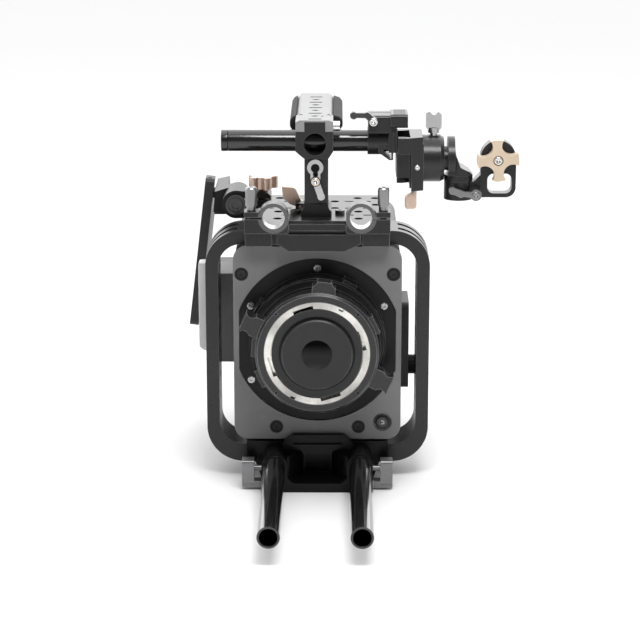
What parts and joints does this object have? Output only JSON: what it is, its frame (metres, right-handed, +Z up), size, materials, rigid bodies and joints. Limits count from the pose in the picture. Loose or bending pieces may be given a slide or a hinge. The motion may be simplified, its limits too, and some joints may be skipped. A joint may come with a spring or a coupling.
{
  "type": "cinema camera rig",
  "caption": "Box cinema camera body in a cage with a lever-lock lens mount, 15 mm rod base, top handle, side screen and a tilting monitor arm.",
  "frame": {"origin": "centre of the 3/8 inch tripod thread's mouth in the base's underside, below the lens axis", "axes": "-Y is the way the lens looks, +Y the back, +Z up, +X the side with the monitor arm"},
  "size_m": [0.2355, 0.361, 0.2653],
  "materials": {
    "housing_paint": "satin",
    "front_paint": "satin",
    "black_anodised": "satin",
    "grey_anodised": "satin",
    "bright_aluminium": "satin",
    "steel": "polished",
    "dark_steel": "satin",
    "chrome": "polished",
    "copper_anodised": "satin",
    "sand_anodised": "satin",
    "black_plastic": "matte",
    "grey_plastic": "matte",
    "grip_rubber": "matte",
    "red_plastic": "gloss",
    "sensor_glass": "gloss",
    "board_green": "matte"
  },
  "bodies": {
    "camera_frame": {"body_shell": "housing_paint", "front_plate": "front_paint", "rear_panel": "housing_paint", "mount_collar": "black_anodised", "mount_flange": "steel", "plate_screws": "dark_steel", "collar_screws": "steel", "image_sensor": "sensor_glass", "nd_filter": "grey_plastic", "heat_sink": "bright_aluminium", "main_board": "board_green", "fan_frame": "black_plastic", "side_module": "housing_paint", "side_cover": "grey_anodised", "connectors": "chrome", "control_panel": "grey_plastic", "cage_left": "black_anodised", "cage_right": "black_anodised", "cage_screws": "dark_steel", "top_plate": "black_anodised", "top_bracket": "black_anodised", "handle_foot": "black_anodised", "handle_post": "black_anodised", "handle_spine": "bright_aluminium", "handle_grips": "grip_rubber", "side_clamp": "black_anodised", "base_plate": "black_anodised"},
    "arm": {"arm_clamp": "black_anodised", "slide_rail": "grey_anodised"},
    "slide": {"slide_plate": "black_anodised", "tilt_drum": "black_anodised"},
    "lock_ring_body": {"lock_ring": "black_anodised"},
    "body_cap_body": {"body_cap": "black_plastic"},
    "assign_button_body": {"assign_button": "grey_plastic"},
    "menu_dial_body": {"menu_dial": "grip_rubber"},
    "rec_button_body": {"rec_button": "red_plastic"},
    "fan_rotor_body": {"fan_rotor": "black_plastic"},
    "battery_pack_body": {"battery_pack": "black_plastic"},
    "media_door_body": {"media_door": "grey_plastic"},
    "rod_screw_left_body": {"rod_screw_left": "steel"},
    "rod_screw_right_body": {"rod_screw_right": "steel"},
    "handle_release_body": {"handle_release": "copper_anodised"},
    "handle_lever_body": {"handle_lever": "chrome"},
    "handle_screw_body": {"handle_screw": "steel"},
    "cross_rod_body": {"cross_rod": "black_anodised"},
    "clamp_lever_body": {"clamp_lever": "dark_steel"},
    "slide_release_body": {"slide_release": "sand_anodised"},
    "drum_screw_body": {"drum_screw": "steel"},
    "swivel_lever_body": {"swivel_lever": "grey_anodised"},
    "star_knob_body": {"star_knob": "sand_anodised"},
    "side_rod_body": {"side_rod": "black_anodised"},
    "side_knob_body": {"side_knob": "copper_anodised"},
    "screen_hinge_body": {"screen_hinge": "black_anodised"},
    "side_screen_body": {"side_screen": "black_plastic"},
    "lens_rod_left_body": {"lens_rod_left": "black_anodised"},
    "lens_rod_right_body": {"lens_rod_right": "black_anodised"},
    "base_lever_left_body": {"base_lever_left": "grey_anodised"},
    "base_lever_right_body": {"base_lever_right": "grey_anodised"},
    "tilt": {"tilt_bracket": "black_anodised"},
    "loop": {"loop_bracket": "black_anodised"}
  },
  "joints": [
    {"name": "lock_ring_turn", "type": "hinge", "parent": "camera_frame", "child": "lock_ring_body", "pos_m": [0, -0.116, 0.1044], "axis": [0, -1, 0], "range_deg": [0, 50]},
    {"name": "cap_pull", "type": "slide", "parent": "camera_frame", "child": "body_cap_body", "axis": [0, -1, 0], "range_m": [0, 0.04]},
    {"name": "assign_press", "type": "slide", "parent": "camera_frame", "child": "assign_button_body", "axis": [0, 1, 0], "range_m": [0, 0.001], "stiffness_N_per_m": 1500, "springref_m": -0.0008},
    {"name": "menu_turn", "type": "hinge", "parent": "camera_frame", "child": "menu_dial_body", "pos_m": [0.0658, -0.036, 0.072], "axis": [1, 0, 0], "continuous": true},
    {"name": "rec_press", "type": "slide", "parent": "camera_frame", "child": "rec_button_body", "axis": [-1, 0, 0], "range_m": [0, 0.001], "stiffness_N_per_m": 1500, "springref_m": -0.0008},
    {"name": "fan_spin", "type": "hinge", "parent": "camera_frame", "child": "fan_rotor_body", "pos_m": [-0.069, -0.015, 0.109], "axis": [1, 0, 0], "continuous": true},
    {"name": "battery_slide", "type": "slide", "parent": "camera_frame", "child": "battery_pack_body", "axis": [0, 1, 0], "range_m": [0, 0.07]},
    {"name": "media_door_hinge", "type": "hinge", "parent": "camera_frame", "child": "media_door_body", "pos_m": [0.0606, 0.0645, 0.082], "axis": [0, 0, 1], "range_deg": [0, 100]},
    {"name": "rod_screw_left_turn", "type": "hinge", "parent": "camera_frame", "child": "rod_screw_left_body", "pos_m": [-0.0454, -0.094, 0.205], "axis": [0, 0, 1], "range_deg": [0, 270]},
    {"name": "rod_screw_right_turn", "type": "hinge", "parent": "camera_frame", "child": "rod_screw_right_body", "pos_m": [0.0454, -0.094, 0.205], "axis": [0, 0, 1], "range_deg": [0, 270]},
    {"name": "handle_release_flip", "type": "hinge", "parent": "camera_frame", "child": "handle_release_body", "pos_m": [-0.012, -0.056, 0.1944], "axis": [0, 1, 0], "range_deg": [0, 50]},
    {"name": "handle_lever_turn", "type": "hinge", "parent": "camera_frame", "child": "handle_lever_body", "pos_m": [-0.0013, -0.084, 0.217], "axis": [0, 1, 0], "range_deg": [0, 60]},
    {"name": "handle_screw_turn", "type": "hinge", "parent": "camera_frame", "child": "handle_screw_body", "pos_m": [0.013, -0.0796, 0.2546], "axis": [1, 0, 0], "range_deg": [0, 270]},
    {"name": "cross_rod_slide", "type": "slide", "parent": "camera_frame", "child": "cross_rod_body", "axis": [1, 0, 0], "range_m": [-0.004, 0.03]},
    {"name": "arm_swing", "type": "hinge", "parent": "cross_rod_body", "child": "arm", "pos_m": [0.043, -0.068, 0.2426], "axis": [1, 0, 0], "range_deg": [-90, 90]},
    {"name": "clamp_lever_turn", "type": "hinge", "parent": "arm", "child": "clamp_lever_body", "pos_m": [0.0384, -0.084, 0.2585], "axis": [0, 1, 0], "range_deg": [0, 70]},
    {"name": "slide_lift", "type": "slide", "parent": "arm", "child": "slide", "axis": [0, 0, 1], "range_m": [0, 0.005]},
    {"name": "slide_release_press", "type": "slide", "parent": "slide", "child": "slide_release_body", "axis": [0, 0, -1], "range_m": [0, 0.0025], "stiffness_N_per_m": 800, "springref_m": -0.001},
    {"name": "drum_screw_turn", "type": "hinge", "parent": "slide", "child": "drum_screw_body", "pos_m": [0.0803, -0.0685, 0.25], "axis": [0, 0, 1], "range_deg": [0, 270]},
    {"name": "arm_tilt", "type": "hinge", "parent": "slide", "child": "tilt", "pos_m": [0.08, -0.0685, 0.2304], "axis": [1, 0, 0], "range_deg": [-45, 45]},
    {"name": "loop_swivel", "type": "hinge", "parent": "tilt", "child": "loop", "pos_m": [0.0979, -0.0685, 0.215], "axis": [0, 0, 1], "range_deg": [-60, 60]},
    {"name": "swivel_lever_turn", "type": "hinge", "parent": "loop", "child": "swivel_lever_body", "pos_m": [0.1094, -0.084, 0.2074], "axis": [0, -1, 0], "range_deg": [0, 80]},
    {"name": "star_knob_turn", "type": "hinge", "parent": "loop", "child": "star_knob_body", "pos_m": [0.1243, -0.082, 0.2316], "axis": [0, 1, 0], "range_deg": [0, 270]},
    {"name": "side_knob_turn", "type": "hinge", "parent": "camera_frame", "child": "side_knob_body", "pos_m": [-0.0395, -0.035, 0.205], "axis": [0, 0, 1], "range_deg": [0, 270]},
    {"name": "side_rod_slide", "type": "slide", "parent": "camera_frame", "child": "side_rod_body", "axis": [0, 1, 0], "range_m": [0, 0.03]},
    {"name": "screen_swing", "type": "hinge", "parent": "side_rod_body", "child": "screen_hinge_body", "pos_m": [-0.0581, 0.025, 0.1922], "axis": [0, 1, 0], "range_deg": [0, 60]},
    {"name": "screen_turn", "type": "hinge", "parent": "screen_hinge_body", "child": "side_screen_body", "pos_m": [-0.07346, 0.025, 0.18604], "axis": [0.9928, 0, -0.1201], "range_deg": [0, 90]},
    {"name": "lens_rod_left_slide", "type": "slide", "parent": "camera_frame", "child": "lens_rod_left_body", "axis": [0, -1, 0], "range_m": [-0.03, 0.03]},
    {"name": "lens_rod_right_slide", "type": "slide", "parent": "camera_frame", "child": "lens_rod_right_body", "axis": [0, -1, 0], "range_m": [-0.03, 0.03]},
    {"name": "base_lever_left_turn", "type": "hinge", "parent": "camera_frame", "child": "base_lever_left_body", "pos_m": [-0.0487, -0.103, 0.015], "axis": [-1, 0, 0], "range_deg": [0, 75]},
    {"name": "base_lever_right_turn", "type": "hinge", "parent": "camera_frame", "child": "base_lever_right_body", "pos_m": [0.0487, -0.103, 0.015], "axis": [-1, 0, 0], "range_deg": [0, 75]}
  ]
}
